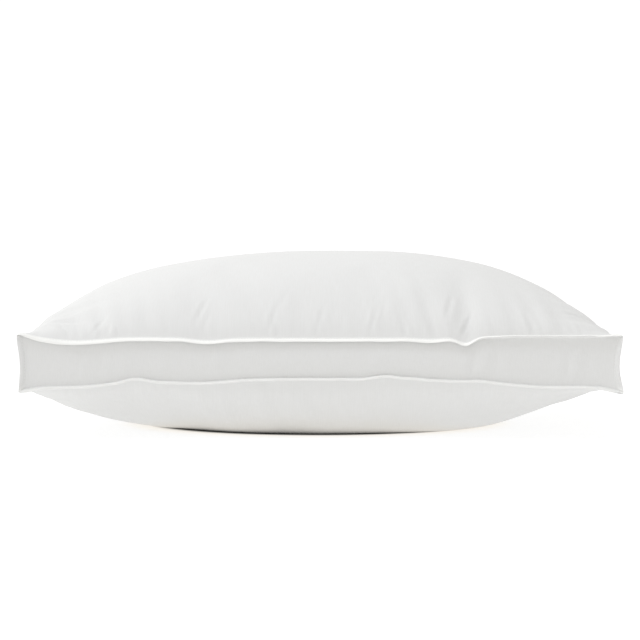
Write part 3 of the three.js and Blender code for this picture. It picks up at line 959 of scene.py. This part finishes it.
label = {
    "width": 32 * mm,
    "wall": 0.15 * mm,
    "columns": 17,
    "drop": 35 * mm,  # how far down it has its full curl and sway
    "curl": 1.2 * mm,  # how far its free end stands off on one side
    "sway": 0.35 * mm,  # a low wave across it: height, turn over its width and start, in radians
    "swayTurn": 7,
    "swayStart": 2,
    # The folded ribbon from the side: mm out from the flange's tip, and up
    "outline": [(-2.6, 0.18), (-1.2, 0.2), (0, 0.28), (0.9, 0.15), (1.6, -0.4), (2.05, -1.4), (2.3, -3),
                (2.4, -6), (2.5, -11), (2.6, -17), (2.75, -23), (2.95, -29), (3.05, -33), (3.0, -34.8),
                (2.7, -35.6), (2.3, -35.5), (2.05, -34.6), (1.95, -33), (1.85, -29), (1.75, -23),
                (1.65, -17), (1.6, -11), (1.5, -6), (1.35, -3), (1.1, -1.7), (0.6, -0.7), (0, -0.28),
                (-1.2, -0.2), (-2.6, -0.18)],
}


def careLabel():
    low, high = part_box("care_label")
    middle = (low.x + high.x) / 2
    near = [k for k in bands["back"] if low.x <= ringX[k] <= high.x]
    tips = np.array([flangePoint(web[0, k], k, 0, form["flange"], topLean, 0) for k in near])
    tipY, tipZ = tips[:, 1].max(), tips[:, 2].mean()
    outline = np.array(label["outline"]) * mm
    run = np.insert(np.cumsum(np.linalg.norm(np.diff(outline, axis=0), axis=1)), 0, 0)
    points, uvs = [], []
    for across in np.linspace(-0.5, 0.5, label["columns"]):
        curl = label["curl"] * (across + 0.5)
        sway = label["sway"] * math.sin(label["swayTurn"] * across + label["swayStart"])
        for (out, up), length in zip(outline, run):
            hang = min(1, max(0, -up / label["drop"]))
            stand = curl * hang ** 2 + sway * hang
            points.append((middle + across * label["width"], tipY + out + stand, tipZ + up))
            uvs.append((across * label["width"], length))
    ribbon = meshObject("care_label_ribbon", points, gridFaces(label["columns"], len(outline)), uvs)
    smoothed(ribbon)
    clothWall(ribbon, label["wall"])
    ribbon.data.materials.append(satinFinish)
    return ribbon, run[-1]


careRibbon, ribbonLength = careLabel()
say("label hung")

# Camera, floor and light

view = {
    "distance": 2.5,  # in front of the front ears
    "height": 0.226,
    "tilt": 2.217,  # degrees down from level
    "lens": 132.6375,  # mm, on a sensor of this width
    "sensor": 36,
    "nearest": 0.01,
    "farthest": 100,
}
camera = bpy.data.objects.new("camera", bpy.data.cameras.new("camera"))
bpy.context.scene.collection.objects.link(camera)
camera.location = (0, -tip.y - view["distance"], view["height"])
camera.rotation_euler = (math.radians(90 - view["tilt"]), 0, 0)
camera.data.lens = view["lens"]
camera.data.sensor_width = view["sensor"]
camera.data.clip_start, camera.data.clip_end = view["nearest"], view["farthest"]
bpy.context.scene.camera = camera

lighting = {
    "around": 0.645,  # soft light from everywhere
    "behind": 0.24,  # more of it from behind the pillow
    "left": 0.30,  # and from the left
    "roomColour": "#FFFEFC",
    "backdrop": 1.1,  # how bright the plain white paper behind everything is
}
softboxes = {
    "key_softbox": {"place": (-0.3, -0.8, 2.1), "target": (0, -0.1, 0.1), "size": 0.7, "watts": 6.3,
                    "colour": "#EAF0FF"},
    "window_softbox": {"place": (-1.2, -0.2, 1.9), "target": (0, -0.1, 0.1), "size": 1.2, "watts": 9.5,
                       "colour": "#FAFCFF"},
}
table = {
    "half": 6,  # metres from its middle to an edge
    "colour": "#A0A0A0",
    "glow": 0.7,  # the white table top is lit from below
    "glowColour": "#FFFFFF",
    "nearColour": "#FCF7EF",  # a little warmer round the pillow
    "touching": 0.5 * mm,  # cloth that is lower than this lies on the table
    # How far out its light changes, in radii of the patch that the pillow lies on: unlit inside
    # dark, a painted contact shadow, fully lit from lit outwards, and its colour changes from near to far
    "dark": 1.02,
    "lit": 1.13,
    "near": 1.1,
    "far": 1.35,
    "length": 0.87,  # of the dark patch, as a share of the one that the pillow lies on
}


def litTable():
    # A white acrylic table top, lit from below, with its glow left out in an oval round where the
    # pillow lies: a painted contact shadow that reaches a little past the cloth
    corners = [(x * table["half"], y * table["half"], 0) for x, y in ((-1, -1), (1, -1), (1, 1), (-1, 1))]
    top = meshObject("table_top", corners, [(0, 1, 2, 3)])
    material, tree, shader = newMaterial("opal_acrylic_table")
    shader.inputs["Base Color"].default_value = linear(table["colour"])
    shader.inputs["Roughness"].default_value = 0.9
    lying = bottomGrid[bottomGrid[..., 2] < table["touching"]]
    middle, half = (lying.max(0) + lying.min(0)) / 2, (lying.max(0) - lying.min(0)) / 2
    place = addNode(tree, "ShaderNodeTexCoord")
    oval = addNode(tree, "ShaderNodeMapping", {"vector_type": "TEXTURE"},
                   {"Location": (middle[0], middle[1], 0), "Scale": (half[0] * table["length"], half[1], 1)},
                   {"Vector": place.outputs["Object"]})
    away = addNode(tree, "ShaderNodeVectorMath", {"operation": "LENGTH"}, None, {0: oval.outputs["Vector"]})
    # the painted contact shadow: no glow inside the oval, full glow outside it
    glow = addNode(tree, "ShaderNodeMapRange", {"interpolation_type": "SMOOTHSTEP"},
                   {"From Min": table["dark"], "From Max": table["lit"], "To Max": table["glow"]},
                   {"Value": away.outputs["Value"]})
    fading = addNode(tree, "ShaderNodeMapRange", {"interpolation_type": "SMOOTHSTEP"},
                     {"From Min": table["near"], "From Max": table["far"]},
                     {"Value": away.outputs["Value"]})
    colour = addNode(tree, "ShaderNodeMix", {"data_type": "RGBA"},
                     {6: linear(table["nearColour"]), 7: linear(table["glowColour"])},
                     {0: fading.outputs["Result"]})
    tree.links.new(glow.outputs["Result"], shader.inputs["Emission Strength"])
    tree.links.new(colour.outputs[2], shader.inputs["Emission Color"])
    top.data.materials.append(material)


def studioWorld():
    world = bpy.data.worlds.new("studio")
    bpy.context.scene.world = world
    world.use_nodes = True
    tree = world.node_tree
    tree.nodes.clear()
    place = addNode(tree, "ShaderNodeTexCoord")
    ways = addNode(tree, "ShaderNodeSeparateXYZ", None, None, {"Vector": place.outputs["Generated"]})
    behind = addNode(tree, "ShaderNodeMapRange", {"interpolation_type": "SMOOTHSTEP"},
                     {"From Min": -0.5, "From Max": 0.7, "To Min": lighting["around"],
                      "To Max": lighting["around"] + lighting["behind"]}, {"Value": ways.outputs["Y"]})
    left = addNode(tree, "ShaderNodeMapRange", {"interpolation_type": "SMOOTHSTEP"},
                   {"From Min": 0.6, "From Max": -0.8, "To Max": lighting["left"]},
                   {"Value": ways.outputs["X"]})
    both = addNode(tree, "ShaderNodeMath", {"operation": "ADD"}, None,
                   {0: behind.outputs["Result"], 1: left.outputs["Result"]})
    lit = addNode(tree, "ShaderNodeBackground", None, None, {"Strength": both.outputs["Value"]})
    lit.inputs["Color"].default_value = linear(lighting["roomColour"])
    backdrop = addNode(tree, "ShaderNodeBackground", None,
                       {"Color": (1, 1, 1, 1), "Strength": lighting["backdrop"]})
    seen = addNode(tree, "ShaderNodeLightPath")
    mixed = addNode(tree, "ShaderNodeMixShader", None, None,
                    {0: seen.outputs["Is Camera Ray"], 1: lit.outputs["Background"],
                     2: backdrop.outputs["Background"]})
    addNode(tree, "ShaderNodeOutputWorld", None, None, {"Surface": mixed.outputs["Shader"]})


def areaLight(name, place, target, size, watts, colour):
    lamp = bpy.data.objects.new(name, bpy.data.lights.new(name, "AREA"))
    bpy.context.scene.collection.objects.link(lamp)
    lamp.location = place
    lamp.rotation_euler = (Vector(target) - Vector(place)).to_track_quat("-Z", "Y").to_euler()
    lamp.data.shape = "DISK"
    lamp.data.size = size
    lamp.data.energy = watts
    lamp.data.color = linear(colour)[:3]


litTable()
studioWorld()
for name, softbox in softboxes.items():
    areaLight(name, **softbox)
bpy.context.scene.view_settings.view_transform = "Standard"

# The frame: which CAD node each piece stands for

stands = {topCloth: ("top_panel", "cotton_shell"), bottomCloth: ("bottom_panel", "cotton_shell"),
          batt: ("fibre_filling", "polyester_fibre"), careRibbon: ("care_label", "satin_label")}
stands.update({piece: (side + "_gusset", "cotton_shell") for side, piece in gussets.items()})
stands.update({row: (node, "sewing_thread") for node, row in threads.items()})
for piece, (node, slotName) in stands.items():
    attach(piece, "root")
    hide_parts(node)
